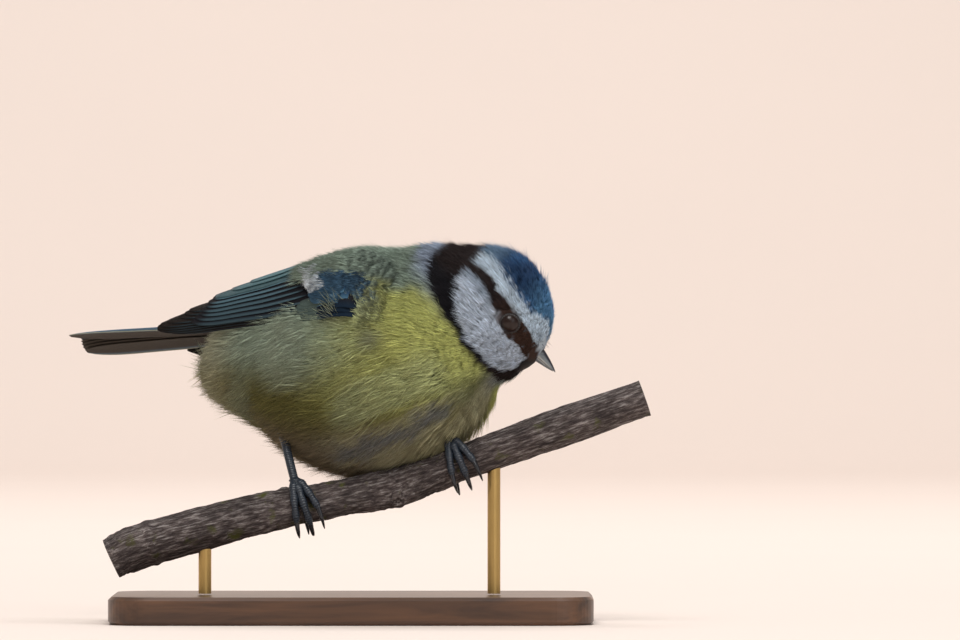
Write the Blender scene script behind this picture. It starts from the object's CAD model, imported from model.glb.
# %% [markdown]
# A blue tit as a life-size museum model, gripping a cut length of branch on a small stand.
# The solids of the frame give the sizes, and this lesson dresses them: skin, plumage,
# flight feathers, eyes, bill, feet, bark and the stand's finishes.

# %% Load the frame
import math

import bmesh
import bpy
import numpy as np
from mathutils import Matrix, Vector


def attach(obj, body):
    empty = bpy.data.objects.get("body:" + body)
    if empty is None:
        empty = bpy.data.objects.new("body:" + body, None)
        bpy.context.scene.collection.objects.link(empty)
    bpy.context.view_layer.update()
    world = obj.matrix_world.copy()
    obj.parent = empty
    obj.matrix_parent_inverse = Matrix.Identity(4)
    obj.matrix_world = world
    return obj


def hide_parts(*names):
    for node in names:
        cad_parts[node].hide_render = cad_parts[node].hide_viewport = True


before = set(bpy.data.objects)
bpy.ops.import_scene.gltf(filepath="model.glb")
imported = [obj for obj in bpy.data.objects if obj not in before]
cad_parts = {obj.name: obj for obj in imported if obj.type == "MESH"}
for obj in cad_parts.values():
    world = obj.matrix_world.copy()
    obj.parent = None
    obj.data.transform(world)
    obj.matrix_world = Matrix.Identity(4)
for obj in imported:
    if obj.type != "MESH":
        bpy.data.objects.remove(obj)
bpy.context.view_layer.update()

MM = 0.001
GAP = 0.3
rng = np.random.default_rng(20)


# %% [markdown]
# Everything below is worked out in millimetres and turned to metres only when a mesh is
# made. The bird has two frames, one for the torso and one for the head, each with its
# forward, right and up directions. One frame would do for a bird that looks straight
# ahead, but this one turns and lowers its head. The solids were drawn in the same two.

# %% The bird's two frames
def make_frame(centre, yaw, pitch, roll):
    y, p, r = np.radians([yaw, pitch, roll])
    forward = np.array([np.cos(p) * np.cos(y), -np.cos(p) * np.sin(y), np.sin(p)])
    level = np.array([-np.sin(y), -np.cos(y), 0.0])
    above = np.cross(level, forward)
    right = level * np.cos(r) + above * np.sin(r)
    up = above * np.cos(r) - level * np.sin(r)
    return np.array(centre, float), np.array([forward, right, up])


TORSO = make_frame([0.5, 6, 61], 25, 0, 22)
HEAD = make_frame([31.6, -6, 72.3], 8, -42, -12)


def to_world(place, local):
    return place[0] + np.asarray(local, float) @ place[1]


def to_local(place, points):
    return (np.asarray(points, float) - place[0]) @ place[1].T


# %% [markdown]
# A plump songbird has no corners: trunk, neck and head run into each other. Loops could
# be modelled and subdivided, but keeping them smooth across the neck is slow work.
# Instead a few ellipsoids are blended in one distance field, which drew the solids too.
# A point is inside the bird where the field is below zero.

# %% The body's form as a field
FORMS = [
    (TORSO, [4, 0, 0.2], [30.5, 24.5, 27.7]),
    (TORSO, [-15.5, 0, 0.6], [21.8, 16.5, 17]),
    (TORSO, [17, 0, -1], [17, 18, 19]),
    (HEAD, [0.5, 0, 0.5], [15, 13.5, 15]),
    (HEAD, [8, 0, -1.5], [7, 6.5, 6]),
    (HEAD, [-10, 0, -6], [13, 13, 13]),
]
BLEND = 6.0


def body_field(points):
    total = None
    for place, at, half in FORMS:
        q = to_local(place, points) - np.array(at, float)
        half = np.array(half, float)
        scaled = np.linalg.norm(q / half, axis=-1)
        slope = np.linalg.norm(q / half ** 2, axis=-1) + 1e-9
        distance = scaled * (scaled - 1) / slope
        if total is None:
            total = distance
            continue
        h = np.maximum(BLEND - np.abs(total - distance), 0) / BLEND
        total = np.minimum(total, distance) - h * h * BLEND / 4
    return total


def body_normal(points):
    step = 0.2
    axes = np.eye(3) * step
    slope = np.stack([body_field(points + a) - body_field(points - a) for a in axes], axis=-1)
    return slope / (np.linalg.norm(slope, axis=-1, keepdims=True) + 1e-9)


def smooth(x, low, high):
    t = np.clip((x - low) / (high - low), 0, 1)
    return t * t * (3 - 2 * t)


def unit(v):
    return v / (np.linalg.norm(v, axis=-1, keepdims=True) + 1e-9)


print("body forms:", len(FORMS))


# %% [markdown]
# A feather coat is thousands of small closed meshes. Building each with an operator
# would take hours, so arrays of points and faces are filled at once and handed to
# Blender in one call, with a colour for each point and a UV map for the bake.

# %% From arrays to an object
def make_object(name, points, faces, tint=None, uv=None):
    mesh = bpy.data.meshes.new(name)
    points = np.asarray(points, float) * MM
    loops, corners = faces.ravel(), faces.shape[1]
    mesh.vertices.add(len(points))
    mesh.vertices.foreach_set("co", points.ravel())
    mesh.loops.add(len(loops))
    mesh.loops.foreach_set("vertex_index", loops.astype(np.int32))
    mesh.polygons.add(len(faces))
    mesh.polygons.foreach_set("loop_start", np.arange(0, len(loops), corners, dtype=np.int32))
    mesh.polygons.foreach_set("loop_total", np.full(len(faces), corners, np.int32))
    mesh.polygons.foreach_set("use_smooth", np.ones(len(faces), bool))
    if tint is not None:
        colour = mesh.color_attributes.new("tint", "FLOAT_COLOR", "POINT")
        rgba = np.ones((len(points), 4))
        rgba[:, :3] = tint
        colour.data.foreach_set("color", rgba.ravel())
    if uv is not None:
        uv = np.asarray(uv, float)
        layer = mesh.uv_layers.new(name="OFBake")
        layer.data.foreach_set("uv", (uv if len(uv) == len(loops) else uv[loops]).ravel())
    mesh.update(calc_edges=True)
    mesh.validate()
    piece = bpy.data.objects.new(name, mesh)
    bpy.context.scene.collection.objects.link(piece)
    return piece


def quads_of(index):
    corners = [index[:-1, :-1], index[:-1, 1:], index[1:, 1:], index[1:, :-1]]
    return np.stack(corners, axis=-1).reshape(-1, 4)


def linear(red, green, blue):
    c = np.array([red, green, blue], float) / 255
    return np.where(c <= 0.04045, c / 12.92, ((c + 0.055) / 1.055) ** 2.4)


def mix(a, b, t):
    t = np.asarray(t, float)[..., None]
    return a * (1 - t) + b * t


print("mid grey on a point:", linear(128, 128, 128))


# %% [markdown]
# The markings name the bird: a blue cap, a white brow and cheek, a dark stripe through
# the eye, a dark collar and bib, a green back and a yellow breast with a dark line down
# the belly. Photographs wrapped round the body would bring their own light with them.
# So the tones are plain values, named after the place where they are seen.

# %% Colours of the plumage
NAVY = linear(34, 62, 98)
AZURE = linear(104, 156, 196)
CAP = linear(62, 106, 156)
DARK = linear(44, 33, 32)
BLACK = linear(22, 20, 26)
LORE = linear(72, 50, 40)
CHEEK_SHADE = linear(150, 166, 184)
CROWN_REAR = linear(110, 138, 164)
WHITE = linear(208, 224, 238)
CHEEK = linear(218, 230, 246)
NAPE = linear(166, 180, 200)
MANTLE = linear(154, 172, 156)
YELLOW = linear(206, 210, 128)
FLANK = linear(176, 194, 174)
OLIVE = linear(124, 120, 66)
PALE = linear(196, 192, 160)
BROWN = linear(138, 122, 102)
STRIPE = linear(112, 118, 130)
THROAT = linear(150, 162, 172)
print("cap, cheek and breast:", CAP, CHEEK, YELLOW)


# %% [markdown]
# The patches of a bird's face have crisp, bent borders. They could be painted by hand on
# an unwrapped head. Here each border is a short line of points in a chart of the head:
# the station along the bill's axis, and the angle round it from the crown. Such a line
# is quick to correct, and it fits the skin and the feathers alike.

# %% Edges in the head's chart
CAP_EDGE = [[-10, -8.4, -6.3, -4.5, -2.1, 3.3, 8, 10, 11.4, 13.5], [8, 17, 20, 24, 30, 36, 35, 27, 17, 4]]
HEAD_REACH = [[-20, 0, 5, 9, 12, 15], [21, 19, 17.5, 16, 14, 11.5]]
STRIPE_TOP = [[-12, -9.1, -5.5, -2.9, 0.4, 3.2, 5.7, 9.8, 12.4, 14.3],
              [38, 41, 42, 45, 51, 53, 51, 54, 56, 54]]
STRIPE_LOW = [[-12, -9.1, -6.7, -3.9, -0.7, 2.4, 5.7, 8.4, 11.2, 14],
              [56, 53, 52, 55, 60, 67, 76, 80, 79, 92]]
CHEEK_LOW = [[-9.1, -8.8, -6.6, -2.8, 1.4, 5.8, 10.8, 12.6, 13.8, 14.6],
             [48, 69, 87, 99, 109, 116, 128, 130, 118, 92]]
COLLAR_LOW = [[-19, -16.9, -13.6, -8.9, -5.1, -0.3, 1.5, 5.2, 8.8, 11.4, 13.3, 14.2],
              [25, 78, 95, 102, 105, 110, 113, 119, 128, 142, 166, 182]]
BELLY_LINE = [[2, 6, 13, 20, 27, 32], [166, 164, 161, 158, 155, 152]]


def edge(line, along):
    return np.interp(along, line[0], line[1])


def waver(points, size):
    x, y, z = np.moveaxis(np.asarray(points) / size, -1, 0)
    return (np.sin(x + 1.7 * np.sin(z * 0.8)) + np.sin(y * 1.3 + 2.1 * np.sin(x * 0.6))
            + np.sin(z * 1.1 + 1.3 * np.sin(y))) / 3


def round_angle(local):
    return np.degrees(np.arctan2(np.abs(local[..., 1]), local[..., 2]))


# %% [markdown]
# Every barb has to know its colour before it is made. One function takes points in
# space and lays the markings over each other, from the flank to the cap, each with a
# soft edge. A slow wave of the points keeps the borders from looking drawn.

# %% Markings as a function of place
def markings(points):
    head = to_local(HEAD, points)
    body = to_local(TORSO, points)
    along = head[..., 0] + 0.35 * waver(points, 0.8)
    turn = round_angle(head) + 1.6 * waver(points, 0.9)
    station = body[..., 0]
    angle = round_angle(body) + 2.5 * waver(points, 2.2)
    around = np.degrees(np.arctan2(body[..., 1], body[..., 2])) % 360

    breast = smooth(station, -6, 20) * smooth(angle, 160, 125)
    side = mix(mix(FLANK, OLIVE, smooth(angle, 100, 138)), YELLOW, breast)
    side = mix(side, FLANK * 0.8 + PALE * 0.2, smooth(waver(points, 4.5), 0.1, 0.6) * 0.35)
    side = mix(side, PALE, smooth(station, -20, -32) * 0.7)
    belly = smooth(angle, 138, 165) * smooth(station, 24, 8) * smooth(station, -24, -10)
    side = mix(side, BROWN, belly * 0.8)
    spot = np.exp(-((station - 14.2) / 2.6) ** 2 - ((angle - 100) / 6) ** 2)
    side = mix(side, STRIPE, spot * 0.55)
    colour = mix(MANTLE, side, smooth(angle + 4 * smooth(station, 8, 20), 61, 71))
    off_line = np.abs(around - edge(BELLY_LINE, station) + 2.0 * waver(points, 1.2))
    line_share = smooth(station, 0, 8) * smooth(station, 33, 26)
    underneath = smooth(np.abs(around - 190), 34, 16) * smooth(station, 6, 16)
    colour = mix(colour, PALE, underneath * 0.6)
    colour = mix(colour, PALE, smooth(off_line, 15, 8) * line_share * 0.6)
    colour = mix(colour, STRIPE, smooth(off_line + 5 * waver(points, 0.9), 10, 0) * line_share * 0.75)

    ahead_of_chest = smooth(along, 8, 13) * smooth(station, 33, 36.5)
    colour = mix(colour, THROAT, ahead_of_chest * 0.8)
    nape = smooth(along, -26, -19.5) * smooth(turn, 112, 84)
    colour = mix(colour, NAPE, nape)
    near_head = smooth(np.hypot(head[..., 1], head[..., 2]) - edge(HEAD_REACH, along), 1, -1)
    collar = smooth(edge(COLLAR_LOW, along) - turn, -2.5, 1.5) * smooth(along, -18.2, -16) * near_head
    collar_tone = mix(DARK, BLACK, smooth(turn, 58, 82) * smooth(turn, 132, 112))
    colour = mix(colour, collar_tone, collar)
    cheek = smooth(edge(CHEEK_LOW, along) - turn, -1.5, 1.5) * smooth(along, -9.4, -8.2)
    shaded = CHEEK * (0.92 + 0.08 * waver(points, 1.5)[..., None])
    beside_stripe = smooth(turn - edge(STRIPE_LOW, along), 16, 2) * smooth(along, 4, -2)
    cloudy = 0.5 * smooth(waver(points, 2.4), 0.2, 0.8)
    shaded = mix(shaded, CHEEK_SHADE, np.clip(beside_stripe * 0.7 + cloudy, 0, 1))
    colour = mix(colour, shaded, cheek * smooth(along, 14.6, 13.8))
    stripe = smooth(turn - edge(STRIPE_LOW, along), 1.2, -1.2) * smooth(along, -12.5, -11)
    colour = mix(colour, mix(DARK, LORE, smooth(along, 0, 7)), stripe)
    brow = smooth(turn - edge(STRIPE_TOP, along), 1.2, -1.2) * smooth(along, -9.2, -7.8)
    colour = mix(colour, WHITE, brow)
    cap = smooth(turn + 5 * waver(points, 0.23) - edge(CAP_EDGE, along), 7, -1) * smooth(along, -10.4, -8.4)
    crown = mix(NAVY, AZURE, smooth(along, 2, 12) * (0.75 + 0.25 * waver(points, 1.1)))
    crown = mix(crown, CAP, smooth(waver(points, 1.4), -0.1, 0.7) * 0.6)
    crown = mix(CROWN_REAR, crown, smooth(along, -8, -2))
    return mix(colour, crown, cap)


print("tone on the cap:", markings(to_world(HEAD, [[4, 0, 14]])))


# %% [markdown]
# The skin is the bird's own shape a little under the feather tips. It could be remeshed
# from metaballs, which leave uneven faces and no map. Here every point of a fine ball is
# drawn from outside onto the field, so the skin is even, closed and without a seam at
# the neck, and the ball's own directions give its map.

# %% Skin
SKIN_CENTRE = np.array([9.0, 2.0, 65.0])
SKIN_STEPS, SKIN_TINT, UV_SPREAD = 6, 0.55, 0.215
SKIN_SEARCH = {"from": 75.0, "to": 3.0, "stride": 0.75, "halvings": 12}
COAT = {"torso": 2.3, "head": 1.2}
NECK_POINT = np.array([20.0, -3.0, 72.5])
NECK_NORMAL = unit(np.array([0.9, -0.25, 0.36]))


def head_share(points):
    return smooth((points - NECK_POINT) @ NECK_NORMAL, -8, 5)


def coat_depth(points):
    share = head_share(points)
    face = smooth(to_local(HEAD, points)[..., 0], 6, 14)
    return COAT["torso"] * (1 - share) + COAT["head"] * share * (1 - 0.5 * face)


def drawn_in(directions):
    start, stride = SKIN_SEARCH["from"], SKIN_SEARCH["stride"]
    outer = np.full(len(directions), start)
    found = np.zeros(len(directions), bool)
    for reach in np.arange(start, SKIN_SEARCH["to"], -stride):
        points = SKIN_CENTRE + directions * reach
        inside = (body_field(points) + coat_depth(points) < 0) & ~found
        outer[inside] = reach
        found |= inside
    low, high = outer.copy(), outer + stride
    for _ in range(SKIN_SEARCH["halvings"]):
        middle = (low + high) / 2
        points = SKIN_CENTRE + directions * middle[:, None]
        inside = body_field(points) + coat_depth(points) < 0
        low = np.where(inside, middle, low)
        high = np.where(inside, high, middle)
    return SKIN_CENTRE + directions * low[:, None]


def ball_uv(directions, half):
    flip = np.where(half > 0, 1.0, -1.0)
    depth = directions[:, 1] * flip
    spread = np.sqrt(1 / np.maximum(1 + depth, 0.05))[:, None] * directions[:, [0, 2]] * UV_SPREAD
    return np.stack([0.25 + 0.5 * (flip > 0), np.full(len(flip), 0.5)], axis=-1) + spread


ball = bmesh.new()
bmesh.ops.create_icosphere(ball, subdivisions=SKIN_STEPS, radius=1.0)
ball_points = np.array([v.co[:] for v in ball.verts])
ball_faces = np.array([[v.index for v in f.verts] for f in ball.faces])
ball.free()
ball_points = unit(ball_points)
skin_points = drawn_in(ball_points)
face_half = np.repeat(ball_points[ball_faces].mean(axis=1)[:, 1], 3)
skin_uv = ball_uv(ball_points[ball_faces].reshape(-1, 3), face_half)
skin = make_object("skin", skin_points, ball_faces, markings(skin_points) * SKIN_TINT, skin_uv)
print("skin points:", len(skin_points))


# %% [markdown]
# Body feathers stand close together and all lie back from the bill. A particle system
# could place them, but its strands have no thickness of their own to keep. Here their
# roots are drawn at random over the skin's faces, by area and by a weight, and a
# direction is worked out for each root: away from the bill, then along the back.

# %% Where each small feather stands
def scatter(count, weight):
    corners = skin_points[ball_faces]
    cross = np.cross(corners[:, 1] - corners[:, 0], corners[:, 2] - corners[:, 0])
    share = np.linalg.norm(cross, axis=1) * weight(corners.mean(axis=1))
    pick = rng.choice(len(share), count, p=share / share.sum())
    a, b = rng.random(count), rng.random(count)
    flip = a + b > 1
    a[flip], b[flip] = 1 - a[flip], 1 - b[flip]
    c = corners[pick]
    return c[:, 0] + a[:, None] * (c[:, 1] - c[:, 0]) + b[:, None] * (c[:, 2] - c[:, 0])


BILL_BASE = to_world(HEAD, [15.0, 0, 0.5])


def lie(points, normals):
    share = head_share(points)[:, None]
    from_bill = unit(points - BILL_BASE)
    body = to_local(TORSO, points)
    angle = round_angle(body)
    sag = smooth(angle, 60, 110) * smooth(angle, 178, 140) * 0.42
    back = -TORSO[1][0] - sag[:, None] * TORSO[1][2]
    way = from_bill * share + unit(back) * (1 - share)
    way = unit(way - (way * normals).sum(axis=1, keepdims=True) * normals)
    swing = 0.22 * waver(points, 3.4) + 0.1 * waver(points, 1.3)
    return unit(way + np.cross(normals, way) * swing[:, None])


print("roots can be scattered over", len(ball_faces), "faces")


# %% [markdown]
# A small feather is a fan of fine barbs on a short shaft. Cards with a cut-out picture
# would be lighter, but they look flat from the side and need an image. Here each barb
# is a thin closed spindle of six triangles that rises from the skin, bends and lies
# down along the body. All of a piece's barbs are worked out together as arrays.

# %% One barb
BARB_POINTS = 5
BARB_BEND = 0.42
TINT_SHARES = np.array([0, 0.6, 0.6, 0.7, 1.0])
BARB_PATCH = 0.003 * np.array([[0.5, 0], [0, 0.5], [1, 0.5], [0.5, 0.6], [0.5, 1]])
BARB_FACES = np.array([[0, 2, 1], [0, 3, 2], [0, 1, 3], [4, 1, 2], [4, 2, 3], [4, 3, 1]])


def barb_arrays(root, way, normal, length, width, lift, curl, bend, tint_root, tint_tip, patch):
    side = np.cross(way, normal)

    def middle(u):
        rise = length * (lift * u - curl * u * u)
        sway = side * (bend * length * u * u)[:, None]
        return root + way * (length * u)[:, None] + normal * rise[:, None] + sway

    knee, half = middle(BARB_BEND), (0.5 * width)[:, None]
    ridge = knee + normal * half * 0.8
    points = np.stack([root, knee - side * half, knee + side * half, ridge, middle(1.0)], axis=1)
    count = len(root)
    faces = BARB_FACES[None] + (np.arange(count) * BARB_POINTS)[:, None, None]
    shares = TINT_SHARES[None, :, None]
    tint = tint_root[:, None] * (1 - shares) + tint_tip[:, None] * shares
    uv = patch[:, None] + BARB_PATCH[None]
    return points.reshape(-1, 3), faces.reshape(-1, 3), tint.reshape(-1, 3), uv.reshape(-1, 2)


# %% [markdown]
# No two feathers of a bird are quite alike. Copies of one feather would show a pattern,
# so each fan draws its own length, spread, lift and shade, and each barb a little more.
# Low lumps over the roots give the coat its loose tufts, and the tint fades to down
# grey at the root of each barb.

# %% Fans of barbs
DOWN = linear(66, 68, 74)


def ranged(low, span, *shape):
    return low + span * rng.random(shape)


def feather_fans(roots, style, size=1.0, normals=None, way=None, paint=None):
    normals = body_normal(roots) if normals is None else normals
    way = lie(roots, normals) if way is None else way
    across = np.cross(normals, way)
    count, barbs = len(roots), style["barbs"]
    base_size = np.broadcast_to(size, count)
    size = base_size * ranged(0.82, 0.36, count)
    way = unit(way + across * rng.normal(0, 0.1, count)[:, None])
    lump = (0.35 * waver(roots, 2.6) + 0.12 * rng.normal(size=count)) * smooth(base_size, 0.5, 1.0)
    roots = roots + normals * (lump * style["lumps"])[:, None]
    place = np.linspace(-1, 1, barbs)[None, :] + rng.normal(0, 0.14, (count, barbs))
    reach = style["length"] * size[:, None] * (1 - 0.25 * place ** 2) * ranged(0.78, 0.36, count, barbs)
    angle = style["open"] * place + rng.normal(0, 0.06, (count, barbs))
    barb_way = unit(way[:, None] * np.cos(angle)[..., None] + across[:, None] * np.sin(angle)[..., None])
    start = roots[:, None] + across[:, None] * (place * style["fan"] * 0.5 * size[:, None])[..., None]
    start = start - normals[:, None] * (0.2 * place ** 2)[..., None]
    rise = style["lift"] * ranged(0.75, 0.5, count, 1) * (1 - 0.2 * place ** 2)
    rise = rise + np.where(rng.random((count, barbs)) < style["stray"], 0.2, 0)
    bend = rng.normal(0, 0.10, (count, 1)) + 0.05 * rng.normal(size=(count, barbs))
    tone = markings(start + barb_way * (0.55 * reach)[..., None])
    if paint is not None:
        tone = mix(tone, paint[0][:, None], np.broadcast_to(paint[1][:, None], (count, barbs)))
    shade = ranged(0.84, 0.3, count, 1, 1) * ranged(0.68, 0.56, count, barbs, 1)
    pale = np.where(rng.random((count, barbs, 1)) < 0.14, 1.4, 1.0)
    root_tint = (0.25 * tone + 0.16 * DOWN) * shade
    tip_tint = tone * shade * pale
    patch = np.repeat(ball_uv(unit(roots - SKIN_CENTRE), roots[:, 1] - SKIN_CENTRE[1]), barbs, axis=0)
    patch = patch + 0.001 * (rng.random((count * barbs, 2)) - 0.5)

    def flat(values):
        full = np.broadcast_to(values, (count, barbs) + np.shape(values)[2:])
        return full.reshape((count * barbs,) + full.shape[2:])

    width = style["width"] * ranged(0.8, 0.4, count, barbs) * (0.5 + 0.5 * size[:, None])
    curl = np.full((1, 1), style["curl"])
    values = (start, barb_way, normals[:, None], reach, width, rise, curl, bend, root_tint, tip_tint)
    return barb_arrays(*(flat(value) for value in values), patch)


def coat_piece(name, roots, style, **more):
    arrays = feather_fans(roots, style, **more)
    piece = make_object(name, *arrays)
    print(name, "feathers:", len(roots), "triangles:", len(arrays[1]))
    return piece


# %% [markdown]
# The feathers are long and loose on the belly, sleek on the back and very short round
# the bill and eyes. One mesh for all of them would be too heavy to bake or edit, so the
# coat is cut into pieces of under 200,000 triangles. Each piece is scattered over the
# whole area, so that no border shows. Under a folded wing no feathers are drawn.

# %% Where feathers grow and how long
EYE_AT = {"right": to_world(HEAD, [6.6, 9.6, 4.6]), "left": to_world(HEAD, [6.6, -9.6, 4.6])}
EYE_OPENING = 2.7
FACE_END = 14.6
WING_HEIGHT = 3.0
WING_LOW = [[-42, -28, -24, -17, 0, 10], [94, 92, 83, 84, 92, 95]]
WING_HIGH = [[-41, -28, -10, 10], [53, 40, 50, 60]]


def clear_of_eyes(points):
    keep = np.ones(len(points))
    for centre in EYE_AT.values():
        keep *= smooth(np.linalg.norm(points - centre, axis=1), EYE_OPENING, EYE_OPENING + 0.4)
    return keep * (to_local(HEAD, points)[:, 0] < FACE_END)


def under_wing(points):
    body = to_local(TORSO, points)
    angle = round_angle(body - [0, 0, WING_HEIGHT])
    low, high = edge(WING_LOW, body[:, 0]), edge(WING_HIGH, body[:, 0])
    inside = smooth(angle, high + 3, high + 7) * smooth(angle, low - 2, low - 5)
    return inside * smooth(body[:, 0], 10, 6)


def torso_weight(points):
    dense_above = 0.8 + 0.4 * smooth(points[:, 2], 50, 75)
    return (1 - head_share(points)) * dense_above * (1 - under_wing(points))


def head_weight(points):
    dense_face = 1 + 1.5 * smooth(to_local(HEAD, points)[:, 0], 2, 12)
    return head_share(points) * clear_of_eyes(points) * dense_face


def torso_size(points):
    body = to_local(TORSO, points)
    angle = round_angle(body)
    sleek = smooth(angle, 85, 55) * 0.28
    fluffy = smooth(angle, 95, 140) * 0.3 + smooth(body[:, 0], -14, -32) * 0.2
    return (0.9 + fluffy - sleek) * (1 - 0.25 * head_share(points))


def head_size(points):
    head = to_local(HEAD, points)
    chin = smooth(round_angle(head), 105, 130) * smooth(head[:, 0], 2, 9)
    return 1 - 0.62 * smooth(head[:, 0], -5, 12) * (1 - 0.75 * chin)


def crest_weight(points):
    head = to_local(HEAD, points)
    return head_share(points) * smooth(round_angle(head), 62, 45) * smooth(head[:, 0], 10, 4)


# %% [markdown]
# The body's feathers are broad and long, the face's are small and close, and the crest's
# are thin and stand up. One style for all of them would look like fur. So each region
# has its own: how many barbs a feather has, how long and wide they are, and how far
# they rise and curl. A loop then makes the pieces of each region.

# %% The coat in pieces
STYLE_KEYS = ("barbs", "length", "fan", "open", "width", "lift", "curl", "stray", "lumps")


def fan_style(*values):
    return dict(zip(STYLE_KEYS, values))


BODY_STYLE = fan_style(18, 6.2, 2.9, 0.3, 0.19, 0.46, 0.18, 0.08, 0.55)
HEAD_STYLE = fan_style(12, 4.2, 1.6, 0.28, 0.14, 0.46, 0.2, 0.10, 0.4)
CREST_STYLE = fan_style(6, 3.3, 1.4, 0.3, 0.13, 0.54, 0.0, 0.1, 0.0)
REGIONS = [
    ("torso", 5, 1740, torso_weight, BODY_STYLE, torso_size),
    ("head", 3, 2100, head_weight, HEAD_STYLE, head_size),
]
CREST_COUNT = 420

coat = []
for region, pieces, count, weight, style, size_at in REGIONS:
    for k in range(pieces):
        roots = scatter(count, weight)
        coat.append(coat_piece(f"coat_{region}_{k + 1}", roots, style, size=size_at(roots)))
coat.append(coat_piece("coat_crest", scatter(CREST_COUNT, crest_weight), CREST_STYLE))


# %% [markdown]
# Flight feathers are single stiff vanes: a shaft with a narrow outer web and a wide
# inner web. One function lays a fine grid over each vane and closes it round the rim.
# Its colours come from the place on the vane, dark inside with a blue outer edge.

# %% Vanes
VANE_STEPS, VANE_CAMBER, VANE_SHAFT = (26, 10), 0.10, 0.16
TIP_FROM, TIP_LENGTH = 0.74, 0.27
UNDERSIDE_TINT, CELL_EDGE = 0.6, 0.05


def vane_width(u):
    root = smooth(u, -0.35, 0.45)
    past = np.clip((u - TIP_FROM) / TIP_LENGTH, 0, None)
    return np.maximum(0.05, root * np.sqrt(np.clip(1 - past ** 2, 0, 1)))


def vane_arrays(centre, out_way, width, thick, colour, tilt, sign=1):
    rows, columns = VANE_STEPS
    u = np.linspace(0, 1, rows + 1)
    across = np.linspace(-1, 1, columns + 1)
    line = np.array([centre(t) for t in u])
    ahead = unit(np.gradient(line, axis=0))
    wide = unit(np.cross(np.array([out_way(t) for t in u]), ahead)) * sign
    out = unit(np.cross(ahead, wide)) * sign
    half = 0.5 * width * vane_width(u)[:, None]
    quill = np.exp(-(across / 0.10) ** 2) * VANE_SHAFT * (1 - 0.7 * u)[:, None] * 0.5
    height = tilt * across * half - VANE_CAMBER * half * across ** 2
    body = thick * (1 - 0.6 * across ** 2) * np.minimum(1, half / 0.5)
    surface = line[:, None] + wide[:, None] * (across * half)[..., None]
    top = surface + out[:, None] * (height + 0.5 * body + quill)[..., None]
    under = surface + out[:, None] * (height - 0.5 * body)[..., None]
    points = np.concatenate([top.reshape(-1, 3), under.reshape(-1, 3)])
    grid_u, grid_x = np.meshgrid(u, across, indexing="ij")
    tint = colour(grid_u, grid_x).reshape(-1, 3)
    index = np.arange((rows + 1) * (columns + 1)).reshape(rows + 1, columns + 1)
    quads, total = quads_of(index), index.size
    ring = np.concatenate([index[0, :-1], index[:-1, -1], index[-1, :0:-1], index[:0:-1, 0]])
    after = np.roll(ring, -1)
    rim = np.stack([after, ring, ring + total, after + total], axis=-1)
    faces = np.concatenate([quads, quads[:, ::-1] + total, rim])
    if np.dot(np.cross(line[1] - line[0], wide[0]), out[0]) < 0:
        faces = faces[:, ::-1]
    uv = np.stack([0.5 + 0.5 * grid_x, grid_u], axis=-1).reshape(-1, 2)
    return points, faces, np.concatenate([tint, tint * UNDERSIDE_TINT]), np.concatenate([uv, uv])


def join_vanes(name, vanes):
    cells = math.ceil(math.sqrt(2 * len(vanes)))
    bake, offset, joined = [], 0, []
    for i, (points, faces, tint, uv) in enumerate(vanes):
        for part, half in enumerate(np.split(uv, 2)):
            cell = 2 * i + part
            corner = np.array([cell % cells, cell // cells]) / cells
            bake.append(corner + (CELL_EDGE + (1 - 2 * CELL_EDGE) * half) / cells)
        joined.append((points, faces + offset, tint, uv))
        offset += len(points)
    points, faces, tint, lay = (np.concatenate(arrays) for arrays in zip(*joined))
    piece = make_object(name, points, faces, tint, np.concatenate(bake))
    place = piece.data.attributes.new("vane", "FLOAT_VECTOR", "POINT")
    place.data.foreach_set("vector", np.column_stack([lay, np.zeros(len(lay))]).ravel())
    print(name, "vanes:", len(vanes), "faces:", len(piece.data.polygons))
    return piece


print("points on one side of a vane:", (VANE_STEPS[0] + 1) * (VANE_STEPS[1] + 1))


# %% [markdown]
# A folded wing lies on the body like a closed fan: primaries lowest, secondaries and
# tertials over them, coverts on top. Placing 36 vanes one by one would take long, and
# they would cut through the body. A curved hull round the torso carries them instead,
# and a row for each tier says how many there are and where the first and last lie.

# %% Wing hull and its tiers
HULL = {"height": 3.0, "radius": 25.0, "widest": 7.0, "taper": 0.30, "ease": 3.0, "front": 0.02}


def hull_point(along, angle, lift, sign):
    behind = max(0.0, HULL["widest"] - along)
    ahead = max(0.0, along - HULL["widest"])
    reach = HULL["radius"] + lift - HULL["taper"] * (math.hypot(behind, HULL["ease"]) - HULL["ease"])
    reach -= HULL["front"] * ahead * ahead
    a = math.radians(angle)
    return to_world(TORSO, [along, sign * reach * math.sin(a), HULL["height"] + reach * math.cos(a)])


TEAL = linear(88, 118, 130)
BLUE = linear(40, 72, 102)
SKY = linear(66, 100, 124)
COVERT = linear(56, 84, 106)
INK = linear(20, 19, 24)
SOOT = linear(26, 20, 18)
TERTIAL = linear(86, 116, 122)
GREENISH = linear(74, 88, 84)
WING_BAR = linear(224, 232, 240)


def flight_colour(shade, edge_colour, edge_from, pale_tip=0.0):
    def colour(u, x, k):
        outer = smooth(x, edge_from, edge_from + 0.16) * smooth(u, 1.0, 0.86) * smooth(u, 0.0, 0.08)
        tone = mix(np.broadcast_to(shade, u.shape + (3,)), edge_colour, outer * (0.35 + 0.65 * k))
        tone = mix(tone, WING_BAR, pale_tip * smooth(u, 0.93, 0.98))
        return tone * (1 - 0.3 * np.exp(-(x / 0.08) ** 2))[..., None]
    return colour


def covert_colour(shade, edge_colour, white):
    def colour(u, x, k):
        tone = mix(np.broadcast_to(shade, u.shape + (3,)), edge_colour, smooth(x, -0.5, 0.9))
        return mix(tone, WING_BAR, white * smooth(k, 0.15, 0.45) * smooth(u, 0.68, 0.8))
    return colour


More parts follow.
